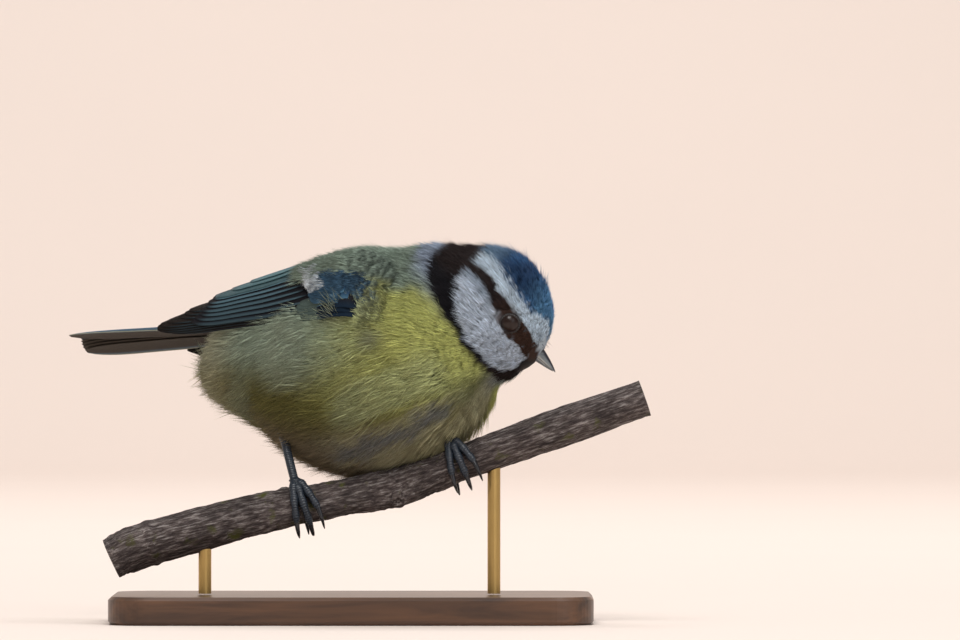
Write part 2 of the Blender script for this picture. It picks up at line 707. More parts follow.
TIERS = [
    {"name": "primaries", "count": 9, "root": [[9, 90], [-4, 78]], "tip": [[-43, 85], [-40, 62]],
     "reach": 6.5, "width": 4.6, "lift": [-0.9, 0.2], "colour": flight_colour(SOOT, TEAL * 0.35, 0.84)},
    {"name": "secondaries", "count": 7, "root": [[-1, 86], [-8, 62]], "tip": [[-38, 80], [-33, 56]],
     "width": 5.4, "lift": [0.2, 0.8], "colour": flight_colour(INK, TEAL, 0.7)},
    {"name": "tertials", "count": 3, "root": [[-8, 60], [-9, 48]], "tip": [[-33, 52], [-24, 44]],
     "width": 6.8, "lift": [0.7, 0.8], "colour": flight_colour(TERTIAL * 0.35, TERTIAL, -0.5, 0.12)},
    {"name": "primary coverts", "count": 6, "root": [[8, 93], [6, 84]], "tip": [[-6, 92], [-5, 84]],
     "width": 3.4, "lift": [0.5, 0.8], "colour": covert_colour(GREENISH * 0.6, GREENISH, 0.0)},
    {"name": "greater coverts", "count": 8, "root": [[9, 84], [0, 60]], "tip": [[-2, 82], [-8, 57]],
     "width": 4.4, "lift": [1.0, 1.3], "colour": covert_colour(BLUE * 0.6, SKY, 1.0)},
    {"name": "alula", "count": 3, "root": [[14, 91], [13, 87]], "tip": [[0, 92], [3, 87]],
     "width": 3.8, "lift": [0.9, 1.3], "dip": 3.4, "colour": covert_colour(INK * 0.8, BLUE * 0.22, 0.0)},
]
SIDES = {"right": 1, "left": -1}
TUCK = {1: 1.0, -1: 0.88}
WING_THICK, WING_TILT = 0.22, 0.16


def between(ends, k):
    return (1 - k) * np.array(ends[0]) + k * np.array(ends[1])


def wing_vane(tier, i, sign):
    k = i / (tier["count"] - 1)
    root, tip, lift = between(tier["root"], k), between(tier["tip"], k), between(tier["lift"], k)
    tip[0] -= tier.get("reach", 0) * math.sin(math.pi * min(1, k + 0.12))
    tip[0] += rng.normal(0, 0.35)

    def centre(u):
        along, angle = root + (tip - root) * u
        sunk = tier.get("dip", 0) * float(smooth(u, 0.45, 0))
        return hull_point(along, angle * TUCK[sign], lift - 0.4 * u - sunk, sign)

    def out_way(u):
        along = root[0] + (tip[0] - root[0]) * u
        return unit(centre(u) - to_world(TORSO, [along, 0, HULL["height"]]))

    jitter = 0.9 + 0.2 * rng.random()

    def colour(u, x):
        return tier["colour"](u, x, k) * jitter

    return vane_arrays(centre, out_way, tier["width"], WING_THICK, colour, WING_TILT, sign)


wings = {}
for side_name, sign in SIDES.items():
    vanes = [wing_vane(tier, i, sign) for tier in TIERS for i in range(tier["count"])]
    wings[side_name] = join_vanes(f"wing_feathers_{side_name}", vanes)
print("tiers:", ", ".join(tier["name"] for tier in TIERS))


# %% [markdown]
# On a live bird the wing lies half buried: shoulder feathers fall over its upper edge
# and breast feathers over its front. Cutting the coat along the wing would leave a
# bare seam. Instead more fans are rooted on the wing's own hull, in a few patches: blue
# small coverts, the white bar's feathers, the green mantle and pale loose strands.

# %% Feathers that overlap the wing
LAPS = [
    {"count": 330, "along": (0.5, 15), "angle": (69, 87), "slope": 0.12, "lift": 1.15, "rise": 0.1,
     "size": 0.5, "paint": "blue"},
    {"count": 90, "along": (-3.0, 0.6), "angle": (62, 80), "slope": 0.28, "lift": 1.6, "rise": 0.0,
     "size": 0.42, "paint": "white"},
    {"count": 420, "along": (-7, 17), "angle": (44, 69), "slope": 0.0, "lift": 1.25, "rise": -0.12,
     "size": 0.66, "paint": "none"},
    {"count": 70, "along": (12, 17), "angle": (78, 99), "slope": 0.0, "lift": 1.2, "rise": 0.25,
     "size": 0.8, "paint": "none"},
]
STRAND_LAPS = [
    {"count": 40, "along": (3, 16), "angle": (90, 97), "slope": 0.0, "lift": 0.5, "rise": 0.8,
     "size": 0.85, "paint": "pale"},
]
LAP_STYLE = fan_style(16, 6.2, 2.6, 0.28, 0.17, 0.22, 0.14, 0.05, 0.0)
STRAND_STYLE = fan_style(3, 7.0, 3.2, 0.3, 0.09, 0.42, 0.1, 0.0, 0.0)
LAP_GROUPS = [("edge", LAPS, LAP_STYLE), ("strands", STRAND_LAPS, STRAND_STYLE)]
LAP_DROP, LAP_EASE = 0.26, 0.11
LAP_PAINT = {"blue": (COVERT, COVERT * 2.2, 1.0), "white": (WING_BAR, WING_BAR * 1.2, 0.9),
             "pale": (PALE * 0.6, FLANK * 0.6, 0.6), "none": (MANTLE, MANTLE, 0.0)}


def lap_fan(lap, sign):
    first, second, strength = LAP_PAINT[lap["paint"]]
    angle = rng.uniform(*lap["angle"])
    along = rng.uniform(*lap["along"]) + lap["slope"] * (angle - sum(lap["angle"]) / 2)
    lift = lap["lift"] + 0.12 * rng.normal()
    lift = lift - LAP_DROP * max(0, along - 7) - LAP_EASE * max(0, 62 - angle)
    point = hull_point(along, angle * TUCK[sign], lift, sign)
    turn = unit(hull_point(along, angle * TUCK[sign] - 1, lift, sign) - point)
    out = unit(point - to_world(TORSO, [along, 0, HULL["height"]]))
    way = unit(-TORSO[1][0] + turn * (lap["rise"] + 0.08 * rng.normal()))
    share = strength * float(smooth(along + 1.5 * rng.normal(), 17, 11))
    return point, out, way, lap["size"], share, mix(first, second, rng.random())


for side_name, sign in SIDES.items():
    for label, laps, style in LAP_GROUPS:
        fans = [lap_fan(lap, sign) for lap in laps for _ in range(lap["count"])]
        roots, normals, ways, sizes, shares, tones = (np.array(values) for values in zip(*fans))
        coat.append(coat_piece(f"coat_wing_{label}_{side_name}", roots, style, size=sizes,
                               normals=normals, way=ways, paint=(tones, shares)))


# %% [markdown]
# The closed tail is twelve vanes that overlap from the middle outwards. Copies of one
# vane would lie in one plane and flicker, and a bent sheet would have no edges. So each
# vane gets its own small layer, and its outer web is blue, as on the bird.

# %% Tail
TAIL = {"along": [-30, -74], "height": [8, 5.6], "count": 12, "width": 5.4, "spread": [4.4, 9.2]}
TAIL_BLUE = linear(100, 122, 138)
TAIL_DARK = linear(84, 76, 68)
TAIL_THICK, TAIL_TILT, TAIL_RISE = 0.24, -0.1, 0.6


def tail_colour(spread):
    def colour(u, x):
        outward = x * np.sign(spread)
        blue = np.maximum(smooth(abs(spread), 0.35, 0.1), smooth(outward, 0.55, 0.8))
        tone = mix(np.broadcast_to(TAIL_DARK, u.shape + (3,)), TAIL_BLUE, blue)
        rim = smooth(abs(spread), 0.9, 1.0) * smooth(outward, 0.78, 0.9)
        return mix(tone, PALE, rim * 0.8)
    return colour


def tail_vane(i):
    spread = i / (TAIL["count"] - 1) * 2 - 1
    outer = abs(spread)
    reach = 1 - 0.03 * (1 - outer) - 0.02 * outer ** 4
    layer = (0.19 if spread > 0 else 0) - 2.3 * outer + TAIL_RISE

    def centre(u):
        along = between(TAIL["along"], u * reach)
        middle = spread * 0.5 * between(TAIL["spread"], u)
        height = between(TAIL["height"], u) + layer * (0.85 + 0.15 * u)
        return to_world(TORSO, [along, middle, height])

    return vane_arrays(centre, lambda u: TORSO[1][2], TAIL["width"], TAIL_THICK, tail_colour(spread),
                       TAIL_TILT * np.sign(spread))


tail = join_vanes("tail_feathers", [tail_vane(i) for i in range(TAIL["count"])])


# %% [markdown]
# Rump feathers hide the place where the tail leaves the body. They cover the tail's base,
# off the skin, so they can't be scattered as the rest of the coat is. Their roots stand
# on a low arch just above the tail's base, and they lie back along it.

# %% Rump feathers
RUMP = {"count": 190, "along": (-25, -36), "half_width": 6.5, "height": (10.4, 8.4), "size": 0.72,
        "round": 0.09}


def rump_roots():
    share = rng.random(RUMP["count"])
    across = RUMP["half_width"] * (2 * rng.random(RUMP["count"]) - 1) * (0.55 + 0.45 * (1 - share))
    along = between(RUMP["along"], share)
    height = between(RUMP["height"], share) - RUMP["round"] * across ** 2
    return to_world(TORSO, np.stack([along, across, height], axis=-1))


roots = rump_roots()
up = np.broadcast_to(TORSO[1][2], roots.shape)
back = -np.broadcast_to(TORSO[1][0], roots.shape)
coat.append(coat_piece("coat_rump", roots, LAP_STYLE, size=RUMP["size"], normals=up, way=back))


# %% [markdown]
# No natural surface is one even colour. An image would need unwrapping and would blur
# from near by, so every finish here is made of nodes. One shared group multiplies a
# colour by fine noise, and a small helper adds a node, sets its values and links it.

# %% Shared shading effect
def add_node(tree, kind, values=None, **settings):
    node = tree.nodes.new(kind)
    for name, value in settings.items():
        setattr(node, name, value)
    for name, value in (values or {}).items():
        if hasattr(value, "links"):
            tree.links.new(value, node.inputs[name])
        else:
            node.inputs[name].default_value = value
    return node


def add_sockets(tree, way, *rows):
    for name, kind, *default in rows:
        socket = tree.interface.new_socket(name=name, in_out=way, socket_type=kind)
        for value in default:
            socket.default_value = value


def mottle_group():
    tree = bpy.data.node_groups.new("mottle", "ShaderNodeTree")
    add_sockets(tree, "INPUT", ("Colour", "NodeSocketColor", (1, 1, 1, 1)),
                ("Scale", "NodeSocketFloat", 400.0), ("Amount", "NodeSocketFloat", 0.2))
    add_sockets(tree, "OUTPUT", ("Colour", "NodeSocketColor"), ("Grain", "NodeSocketFloat"))
    start = add_node(tree, "NodeGroupInput").outputs
    where = add_node(tree, "ShaderNodeTexCoord").outputs["Object"]
    grain = add_node(tree, "ShaderNodeTexNoise", {
        "Vector": where, "Scale": start["Scale"], "Detail": 4}).outputs["Fac"]
    spread = add_node(tree, "ShaderNodeMapRange", {"Value": grain, "To Min": 0.6, "To Max": 1.4})
    blend = add_node(tree, "ShaderNodeMix", {
        "Factor": start["Amount"], "A": start["Colour"], "B": spread.outputs["Result"],
    }, data_type="RGBA", blend_type="MULTIPLY")
    add_node(tree, "NodeGroupOutput", {"Colour": blend.outputs["Result"], "Grain": grain})
    return tree


MOTTLE = mottle_group()


def new_material(name, values):
    material = bpy.data.materials.new(name)
    material.use_nodes = True
    shader = material.node_tree.nodes["Principled BSDF"]
    for label, value in values.items():
        shader.inputs[label].default_value = value
    return material, material.node_tree, shader


def tint_of(tree):
    return add_node(tree, "ShaderNodeVertexColor", layer_name="tint").outputs["Color"]


def mottled(tree, shader, colour, scale, amount):
    values = {"Colour": colour, "Scale": scale, "Amount": amount}
    group = add_node(tree, "ShaderNodeGroup", values, node_tree=MOTTLE)
    tree.links.new(group.outputs["Colour"], shader.inputs["Base Color"])
    return group.outputs["Grain"]


def bump(tree, shader, height, strength, distance):
    node = add_node(tree, "ShaderNodeBump", {"Height": height, "Strength": strength, "Distance": distance})
    tree.links.new(node.outputs["Normal"], shader.inputs["Normal"])


def simple_finish(name, values, scale, amount, tone=None, relief=None):
    material, tree, shader = new_material(name, values)
    grain = mottled(tree, shader, tint_of(tree) if tone is None else (*tone, 1), scale, amount)
    if relief:
        bump(tree, shader, grain, *relief)
    return material


print("nodes in the shared effect:", len(MOTTLE.nodes))


# %% [markdown]
# Body feathers are matt down with hardly any shine, and vanes show fine slanting barbs.
# Both finishes take their colour from the tint on each point. The barbs of a vane are a
# sine wave across the vane's own place, slanted away from its shaft on both sides, and
# they only tilt the light, which is enough at this size.

# %% Plumage finishes
DOWN_SURFACE = {"Roughness": 0.7, "Specular IOR Level": 0.15}
VANE_SURFACE = {"Roughness": 0.6, "Specular IOR Level": 0.1}
BARB_SLANT, BARB_WAVES = -0.35, 420.0


def math_step(tree, operation, *values):
    return add_node(tree, "ShaderNodeMath", dict(enumerate(values)), operation=operation).outputs[0]


def vane_finish():
    material, tree, shader = new_material("vane barbs", VANE_SURFACE)
    mottled(tree, shader, tint_of(tree), 900, 0.25)
    place = add_node(tree, "ShaderNodeAttribute", attribute_name="vane").outputs["Vector"]
    apart = add_node(tree, "ShaderNodeSeparateXYZ", {0: place}).outputs
    away = math_step(tree, "ABSOLUTE", math_step(tree, "SUBTRACT", apart["X"], 0.5))
    slant = math_step(tree, "MULTIPLY_ADD", away, BARB_SLANT, apart["Y"])
    wave = math_step(tree, "SINE", math_step(tree, "MULTIPLY", slant, BARB_WAVES))
    bump(tree, shader, wave, 0.35, 0.00008)
    return material


def finish_with(material, *pieces):
    for piece in pieces:
        piece.data.materials.append(material)
    print(material.name, "on", len(pieces), "pieces")


finish_with(simple_finish("skin down", DOWN_SURFACE, 600, 0.2), skin)
finish_with(simple_finish("contour barbs", DOWN_SURFACE, 700, 0.25), *coat)
finish_with(vane_finish(), *wings.values(), tail)


# %% [markdown]
# Eyes, bill, toes and branch are all closed skins over a simple path. Primitives from
# the menu would have to be bent and welded by hand. One helper lays a grid by a rule
# for each point, and another welds its ends, closes them and sets the normals.

# %% Grids bent into shape
WELD = 2e-6


def grid_object(rows, columns, place, close_rows=False):
    steps = np.linspace(0, 1, rows + 1)
    turns = np.linspace(0, 1, columns, endpoint=False)
    points = np.array([[place(u, v) for v in turns] for u in steps])
    index = np.arange(len(steps) * columns).reshape(-1, columns)
    index = np.concatenate([index, index[:, :1]], axis=1)
    if close_rows:
        index = np.concatenate([index[:-1], index[:1]], axis=0)
        points = points[:-1]
    return points.reshape(-1, 3), quads_of(index)


def finished(name, points, faces, tint=None):
    piece = make_object(name, points, faces, tint)
    work = bmesh.new()
    work.from_mesh(piece.data)
    bmesh.ops.remove_doubles(work, verts=work.verts, dist=WELD)
    holes = [e for e in work.edges if e.is_boundary]
    if holes:
        bmesh.ops.holes_fill(work, edges=holes, sides=0)
    bmesh.ops.recalc_face_normals(work, faces=work.faces)
    for face in work.faces:
        face.smooth = True
    work.to_mesh(piece.data)
    work.free()
    print(name, "faces:", len(piece.data.polygons))
    return piece


# %% [markdown]
# The eye is a wet dark ball in a ring of tiny lid scales. A sphere from the menu would
# do for the ball, but not for the ring, so both are bent grids. The ring's girth swells
# and shrinks 26 times on its way round, which gives the small scales of the lids.

# %% Eyes and lids
EYE_RADIUS = 2.4
EYE_GRID, LID_GRID = (32, 48), (156, 14)
LID = {"scales": 26, "girth": 0.34, "swell": 0.06, "inside": 0.22, "out": 0.95}


def eyeball(centre):
    def place(u, v):
        a, b = math.pi * u, 2 * math.pi * v
        direction = np.array([math.sin(a) * math.cos(b), math.sin(a) * math.sin(b), math.cos(a)])
        return centre + EYE_RADIUS * direction
    return grid_object(*EYE_GRID, place)


def lid_ring(centre):
    out = unit(centre - to_world(HEAD, [3.6, 0, 4.6]))
    side_way = unit(np.cross(out, HEAD[1][2]))
    up_way = np.cross(side_way, out)

    def place(u, v):
        a, b = 2 * math.pi * u, 2 * math.pi * v
        girth = LID["girth"] + LID["swell"] * math.cos(LID["scales"] * a)
        ring = EYE_RADIUS - LID["inside"] + girth * math.cos(b)
        height = LID["out"] + girth * math.sin(b)
        return centre + ring * (math.cos(a) * side_way + math.sin(a) * up_way) + out * height
    return grid_object(*LID_GRID, place, close_rows=True)


EYE_SURFACE = {"Roughness": 0.3, "Specular IOR Level": 0.2, "Coat Weight": 0.25, "Coat Roughness": 0.04}
eyes, lids = {}, {}
for side_name, centre in EYE_AT.items():
    eyes[side_name] = finished(f"eyeball_{side_name}", *eyeball(centre))
    lids[side_name] = finished(f"eyelids_{side_name}", *lid_ring(centre))
finish_with(simple_finish("wet eye", EYE_SURFACE, 500, 0.4, linear(34, 20, 15)), *eyes.values())
finish_with(simple_finish("lid scales", {"Roughness": 0.45}, 1500, 0.3, linear(34, 30, 30)), *lids.values())


# %% [markdown]
# The bill is two short horny cones with a ridge, a pale cutting edge and two nostrils.
# Cones cut with Booleans would keep sharp rims. Here a grid is bent round the bill's
# axis and pressed in softly at the nostrils, and the tint follows the height above the
# cutting edge: pale along it, dark on the ridge and at the tip.

# %% Bill
BILL = {"at": [12.4, 0, 0.3], "length": 8.8, "width": 4.4, "upper": 2.7, "lower": 2.0,
        "taper": 0.72, "droop": 4}
HORN = linear(112, 118, 122)
CULMEN = linear(38, 36, 46)
TOMIUM = linear(178, 180, 178)
BILL_GRID = (48, 56)
NOSTRIL = {"u": 0.42, "angle": 0.85, "half": (0.035, 0.22), "depth": 0.4}


def bill_half(sign, height, inset, reach):
    drop = math.tan(math.radians(BILL["droop"]))

    def pit(u, angle):
        along = (u - NOSTRIL["u"]) / NOSTRIL["half"][0]
        rounds = [(angle - at) / NOSTRIL["half"][1] for at in (NOSTRIL["angle"], math.pi - NOSTRIL["angle"])]
        return sum(math.exp(-along ** 2 - turn ** 2) for turn in rounds) * NOSTRIL["depth"]

    def place(u, v):
        taper = max(0.04, (1 - u) ** BILL["taper"])
        middle = -drop * BILL["length"] * u * u * 0.6
        angle = 2 * math.pi * v
        across, lift = math.cos(angle), math.sin(angle)
        arch = height * taper * max(0, lift) ** 0.85
        hole = pit(u, angle) if sign > 0 else 0
        return to_world(HEAD, [
            BILL["at"][0] + BILL["length"] * u * reach,
            across * BILL["width"] * 0.5 * taper * inset * (1 - 0.25 * hole),
            BILL["at"][2] + middle + sign * (0.06 + max(0, arch - hole)),
        ])

    points, faces = grid_object(*BILL_GRID, place)
    local = to_local(HEAD, points)
    u = (local[:, 0] - BILL["at"][0]) / BILL["length"]
    above = sign * (local[:, 2] - BILL["at"][2] + drop * BILL["length"] * u * u * 0.6)
    top = above / (height * np.maximum(0.04, np.clip(1 - u, 0, 1) ** BILL["taper"]))
    tone = mix(np.broadcast_to(HORN, points.shape), TOMIUM, smooth(top, 0.4, 0.1))
    tone = mix(tone, CULMEN, smooth(top, 0.62, 0.95))
    tone = mix(tone, CULMEN, smooth(u, 0.8, 1.0) * 0.6)
    return points, faces, tone


bill_pieces = {
    "upper": finished("bill_horn_upper", *bill_half(1, BILL["upper"], 1.0, 1.0)),
    "lower": finished("bill_horn_lower", *bill_half(-1, BILL["lower"], 0.92, 0.94)),
}
BILL_SURFACE = {"Roughness": 0.32}
finish_with(simple_finish("bill horn", BILL_SURFACE, 900, 0.5, relief=(0.15, 0.0001)), *bill_pieces.values())


# %% [markdown]
# The perch is a cut length of branch with a few knots. A cylinder with a displacement
# would stay straight and regular. So a bar follows a smooth line through measured
# points, thicker and thinner as the branch is, and its surface has furrows, low plates
# and knots. Each point also keeps its place on the branch laid straight.

# %% Perch
PERCH_Y = -7.5
PLACE_SAMPLES, LENGTH_SAMPLES = 600, 800
PERCH = np.array([
    [-55.8, 14.9, 4.7], [-48.8, 18.0, 5.1], [-28.8, 23.3, 4.9], [-14.4, 26.5, 4.4], [-0.5, 29.3, 4.2],
    [10.0, 31.4, 4.5], [18.1, 34.4, 4.2], [27.0, 37.7, 4.0], [46.0, 44.4, 4.4], [68.1, 52.1, 4.2],
])


def spline(knots, t):
    last = len(knots) - 1
    t = np.clip(t, 0, last - 1e-6)
    i = int(t)
    k = t - i
    a, b, c, d = (knots[min(max(j, 0), last)] for j in range(i - 1, i + 3))
    curve = (2 * a - 5 * b + 4 * c - d) * k * k + (3 * b - a - 3 * c + d) * k ** 3
    return 0.5 * (2 * b + (c - a) * k + curve)


def perch_place(x):
    ts = np.linspace(0, len(PERCH) - 1, PLACE_SAMPLES)
    line = np.array([spline(PERCH, t) for t in ts])
    i = int(np.argmin(np.abs(line[:, 0] - x)))
    j = min(max(i, 1), len(ts) - 2)
    way = line[j + 1] - line[j - 1]
    ahead = unit(np.array([way[0], 0, way[1]]))
    centre = np.array([line[i][0], PERCH_Y, line[i][1]])
    return centre, ahead, np.array([0, -1.0, 0]), np.cross(ahead, [0, 1.0, 0]), line[i][2]


PERCH_GRID, PERCH_CUT = (420, 120), 0.004
RING = {"at": 0.128, "half": 0.006, "height": 0.35}
KNOTS = [
    {"at": (0.556, 5.6), "half": (0.015, 0.50), "height": 1.0, "dent": 0.8},
    {"at": (0.21, 5.7), "half": (0.009, 0.30), "height": 0.6, "dent": 0.2},
    {"at": (0.80, 0.9), "half": (0.010, 0.35), "height": 0.5, "dent": 0.3},
    {"at": (0.33, 1.8), "half": (0.009, 0.30), "height": 0.5, "dent": 0.1},
]


def bark_relief(s, a):
    relief = 0.22 * math.sin(3 * a + 9 * s) + 0.12 * math.sin(5 * a - 23 * s)
    relief += 0.08 * math.sin(2 * a + 60 * s)
    furrow = math.sin(11 * a + 3.1 * math.sin(31 * s) + 2 * math.sin(83 * s + a))
    plate = math.sin(150 * s + 4 * math.sin(5 * a) + 3 * math.sin(37 * s))
    relief += 0.12 * furrow * (0.6 + 0.4 * plate) + 0.05 * math.sin(23 * a + 7 * math.sin(60 * s + 3 * a))
    relief += RING["height"] * math.exp(-((s - RING["at"]) / RING["half"]) ** 2)
    for knot in KNOTS:
        turn = (a - knot["at"][1] + math.pi) % (2 * math.pi) - math.pi
        away = math.hypot((s - knot["at"][0]) / knot["half"][0], turn / knot["half"][1])
        relief += knot["height"] * math.exp(-(max(0, away - 0.5)) ** 2 * 2.2)
        relief -= knot["dent"] * math.exp(-(away * 2.2) ** 2)
    return relief


def perch_arrays():
    last = len(PERCH) - 1

    def place(u, v):
        inner = min(1.0, u / PERCH_CUT, (1 - u) / PERCH_CUT)
        s = min(max((u - PERCH_CUT) / (1 - 2 * PERCH_CUT), 0), 1)
        here = spline(PERCH, s * last)
        near = spline(PERCH, min(s + 0.002, 1) * last) - spline(PERCH, max(s - 0.002, 0) * last)
        ahead = unit(np.array([near[0], 0, near[1]]))
        up = np.cross(ahead, [0, 1.0, 0])
        a = 2 * math.pi * v
        radius = (here[2] + bark_relief(s, a)) * max(inner, 0.02)
        round_way = math.cos(a) * np.array([0, -1.0, 0]) + math.sin(a) * up
        return np.array([here[0], PERCH_Y, here[1]]) + radius * round_way
    return grid_object(*PERCH_GRID, place)


def straightened(points):
    line = np.array([spline(PERCH, t) for t in np.linspace(0, len(PERCH) - 1, LENGTH_SAMPLES)])
    steps = np.hypot(np.diff(line[:, 0]), np.diff(line[:, 1]))
    arc = np.concatenate([[0], np.cumsum(steps)])
    slope = np.gradient(line[:, 1], line[:, 0])
    x, y, z = points.T
    rise = z - np.interp(x, line[:, 0], line[:, 1])
    tilt = np.interp(x, line[:, 0], slope)
    station = np.interp(x + rise * tilt / (1 + tilt ** 2), line[:, 0], arc)
    return np.stack([station, y - PERCH_Y, rise / np.sqrt(1 + tilt ** 2)], axis=-1)


perch = finished("perch_bark", *perch_arrays())
perch_points = np.empty(len(perch.data.vertices) * 3)
perch.data.vertices.foreach_get("co", perch_points)
straight = perch.data.attributes.new("straight", "FLOAT_VECTOR", "POINT")
straight.data.foreach_set("vector", straightened(perch_points.reshape(-1, 3) / MM).ravel())


# %% [markdown]
# Bark is grey-brown with pale fibres that run along the branch. Noise in object space
# would cut straight through the bends, so it reads the straightened place and is
# stretched lengthwise there. A second noise makes lighter patches and a third a little
# moss. The wood of the stand is made with the same helpers.

# %% Bark finish
BARK_STOPS = [(0.30, linear(34, 28, 28)), (0.46, linear(66, 58, 57)), (0.55, linear(98, 89, 86)),
              (0.63, linear(140, 133, 130)), (0.75, linear(170, 163, 157))]
BARK_STRETCH = (0.3, 1.9, 1.9)
MOSS = (*linear(84, 86, 42), 1)


def colour_ramp(tree, value, stops):
    ramp = add_node(tree, "ShaderNodeValToRGB", {"Fac": value})
    elements = ramp.color_ramp.elements
    while len(elements) < len(stops):
        elements.new(0.5)
    for element, (position, colour) in zip(elements, stops):
        element.position = position
        element.color = (*colour, 1)
    return ramp.outputs["Color"]


def stretched(tree, vector, scale):
    return add_node(tree, "ShaderNodeMapping", {"Vector": vector, "Scale": scale}).outputs["Vector"]


def noise(tree, vector, scale, detail, roughness=0.55, distortion=0.0):
    return add_node(tree, "ShaderNodeTexNoise", {
        "Vector": vector, "Scale": scale, "Detail": detail, "Roughness": roughness,
        "Distortion": distortion}).outputs["Fac"]


def mapped(tree, value, low, high, to_low=0.0, to_high=1.0):
    return add_node(tree, "ShaderNodeMapRange", {
        "Value": value, "From Min": low, "From Max": high, "To Min": to_low, "To Max": to_high,
    }).outputs["Result"]


def blended(tree, share, first, second, way="MIX"):
    return add_node(tree, "ShaderNodeMix", {"Factor": share, "A": first, "B": second},
                    data_type="RGBA", blend_type=way).outputs["Result"]


def bark_finish():
    material, tree, shader = new_material("bark", {"Roughness": 0.88, "Specular IOR Level": 0.25})
    place = add_node(tree, "ShaderNodeAttribute", attribute_name="straight").outputs["Vector"]
    cracks = noise(tree, stretched(tree, place, BARK_STRETCH), 1.0, 9, 0.68)
    shade = mapped(tree, noise(tree, place, 0.16, 3), 0.2, 0.7, 0.65, 1.35)
    moss_share = mapped(tree, noise(tree, place, 0.22, 6), 0.60, 0.72)
    toned = blended(tree, 1.0, colour_ramp(tree, cracks, BARK_STOPS), shade, "MULTIPLY")
    mossy = blended(tree, moss_share, toned, MOSS)
    tree.links.new(mossy, shader.inputs["Base Color"])
    bump(tree, shader, cracks, 0.9, 0.001)
    return material


finish_with(bark_finish(), perch)


# %% [markdown]
# Three toes grip the branch from the front and one from behind, each with a hooked
# claw, and the shanks run up into the belly feathers. A rig could close the toes, but
# the pose never changes. So each toe is a bar bent round the branch by angle, with pads
# along it, and it touches the bark without entering it.

# %% Feet
LEGS = [
    {"name": "right", "x": -12, "heel": 8, "route": [[-15.8, 2, 50], [-15.4, -3, 42]],
     "toes": [[5, 124, -1.4], [12, 138, 1.6], [8, 100, 4.2], [-8, -112, 0.6]]},
    {"name": "left", "x": 25, "heel": 22, "route": [[20, 0, 51], [22.8, -6, 46.2]],
     "toes": [[5, 108, -2.4], [12, 124, 0.6], [8, 96, 3.4], [-8, -128, -2.2]]},
]
TOE, TOE_TIP, CLAW_SWEEP, CLAW_OUT = 1.08, 0.76, 48, (2.2, 2.4)
CLAW_ROOT, SHANK_TOP, SHANK_LOW, HEEL_SIZE = 0.62, 3.0, 1.0, 1.45
TOE_GRID, CLAW_GRID, HEEL_GRID, SHANK_GRID = (70, 16), (24, 12), (16, 16), (60, 18)


def round_perch(place, degrees, out, along):
    centre, ahead, front, up, radius = place
    a = math.radians(degrees)
    return centre + (radius + out) * (up * math.cos(a) + front * math.sin(a)) + ahead * along


def bar_arrays(points, radius_at, grid):
    points = np.array(points, float)

    def place(u, v):
        t = u * (len(points) - 1)
        middle = spline(points, t)
        ahead = unit(spline(points, min(t + 0.01, len(points) - 1)) - spline(points, max(t - 0.01, 0)))
        guide = np.array([0.31, 0.2, 0.93]) if abs(ahead[2]) < 0.9 else np.array([1.0, 0.2, 0])
        one = unit(np.cross(ahead, guide))
        two = np.cross(ahead, one)
        a = 2 * math.pi * v
        return middle + radius_at(u) * (math.cos(a) * one + math.sin(a) * two)
    return grid_object(*grid, place)


def toe_points(place, start, end, spread):
    clear = GAP + 0.25
    turn = CLAW_SWEEP if end > start else -CLAW_SWEEP
    points = []
    for k in (0, 0.33, 0.66, 1):
        out = clear + TOE + (TOE_TIP - TOE) * k + 0.1
        points.append(round_perch(place, start + (end - start) * k, out, spread * k ** 0.8))
    claw = [points[-1], round_perch(place, end + turn * 0.45, clear + CLAW_OUT[0], spread * 1.08),
            round_perch(place, end + turn, clear + CLAW_OUT[1], spread * 1.1)]
    return points, claw


def toe_radius(u):
    pads = 1 + 0.10 * math.cos(2 * math.pi * 3.5 * u) + 0.035 * math.cos(2 * math.pi * 16 * u)
    round_ends = min(1, (u + 0.02) / 0.05) ** 0.5 * min(1, (1.03 - u) / 0.06) ** 0.5
    return (TOE + (TOE_TIP - TOE) * u) * pads * round_ends


def claw_radius(u):
    return CLAW_ROOT * (1 - u) ** 0.7 + 0.05


def shank_radius(u):
    return SHANK_TOP + (SHANK_LOW - SHANK_TOP) * float(smooth(u, 0.1, 0.6))


def heel_radius(u):
    return HEEL_SIZE * math.sin(math.pi * (0.08 + 0.84 * u))


def merged(name, parts):
    points, faces, offset = [], [], 0
    for p, f in parts:
        points.append(p)
        faces.append(f + offset)
        offset += len(p)
    return finished(name, np.concatenate(points), np.concatenate(faces))


# %% [markdown]
# The two legs differ only in where they stand and how far the toes reach. Mirroring one
# would put its toes off the branch, so each is made from its row of numbers. Its toes
# become one mesh with the heel, its claws another, and its shank a third. The code also
# keeps a path along each toe and shank for the horny plates that come next.

# %% Legs and their paths
TOE_STEPS, SHANK_STEPS = np.linspace(0.08, 0.97, 20), np.linspace(0.5, 0.98, 24)
SHANK_FRONT = np.array([0.25, -1.0, 0.0])
PLATE_DEPTH = 0.72
feet, shanks, claws, scute_paths = {}, {}, {}, {}


def plate_path(line, outs, radius_at, steps):
    radii = np.array([radius_at(u) for u in steps])
    return line + outs * (PLATE_DEPTH * radii)[:, None], outs, radii


